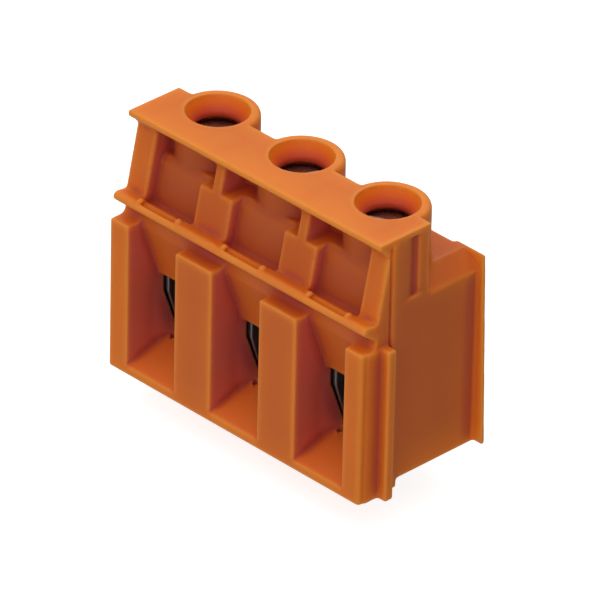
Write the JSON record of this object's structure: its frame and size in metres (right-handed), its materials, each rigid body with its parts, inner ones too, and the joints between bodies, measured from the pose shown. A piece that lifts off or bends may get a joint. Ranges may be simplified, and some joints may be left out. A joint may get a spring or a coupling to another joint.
{
  "type": "pcb terminal block",
  "caption": "Orange moulded terminal block for a circuit board: funnel wire entries in front, screws in open towers on top, clamping yokes, and current bars with solder pins below.",
  "frame": {"origin": "centre of the solder pin pattern in the plane of the circuit board's top face, under the middle screw's axis", "axes": "+X along the row of poles, +Y from the wire entries to the rear wall, +Z away from the board"},
  "size_m": [0.0314, 0.0138, 0.0272],
  "materials": {
    "orange_plastic": "semi-gloss injection-moulded polyamide",
    "plated_steel": "zinc plated",
    "yoke_steel": "zinc plated, stamped and bent",
    "tinned_metal": "tin plated"
  },
  "bodies": {
    "base": {"housing": "orange_plastic", "current_bar_1": "tinned_metal", "current_bar_2": "tinned_metal", "current_bar_3": "tinned_metal"},
    "screw_1": {"clamping_screw_1": "plated_steel"},
    "screw_2": {"clamping_screw_2": "plated_steel"},
    "screw_3": {"clamping_screw_3": "plated_steel"},
    "yoke_1": {"clamping_yoke_1": "yoke_steel"},
    "yoke_2": {"clamping_yoke_2": "yoke_steel"},
    "yoke_3": {"clamping_yoke_3": "yoke_steel"}
  },
  "joints": [
    {"name": "screw_turn_1", "type": "hinge", "parent": "base", "child": "screw_1", "pos_m": [-0.01016, 0, 0.02], "axis": [0, 0, -1], "range_deg": [0, 2880]},
    {"name": "screw_turn_2", "type": "hinge", "parent": "base", "child": "screw_2", "pos_m": [0, 0, 0.02], "axis": [0, 0, -1], "range_deg": [0, 2880]},
    {"name": "screw_turn_3", "type": "hinge", "parent": "base", "child": "screw_3", "pos_m": [0.01016, 0, 0.02], "axis": [0, 0, -1], "range_deg": [0, 2880]},
    {"name": "yoke_lift_1", "type": "slide", "parent": "base", "child": "yoke_1", "axis": [0, 0, 1], "range_m": [0, 0.0056]},
    {"name": "yoke_lift_2", "type": "slide", "parent": "base", "child": "yoke_2", "axis": [0, 0, 1], "range_m": [0, 0.0056]},
    {"name": "yoke_lift_3", "type": "slide", "parent": "base", "child": "yoke_3", "axis": [0, 0, 1], "range_m": [0, 0.0056]}
  ],
  "couplings": [
    {"joint": "screw_turn_1", "follows": "yoke_lift_1", "rad_per_m": 8975},
    {"joint": "screw_turn_2", "follows": "yoke_lift_2", "rad_per_m": 8975},
    {"joint": "screw_turn_3", "follows": "yoke_lift_3", "rad_per_m": 8975}
  ]
}
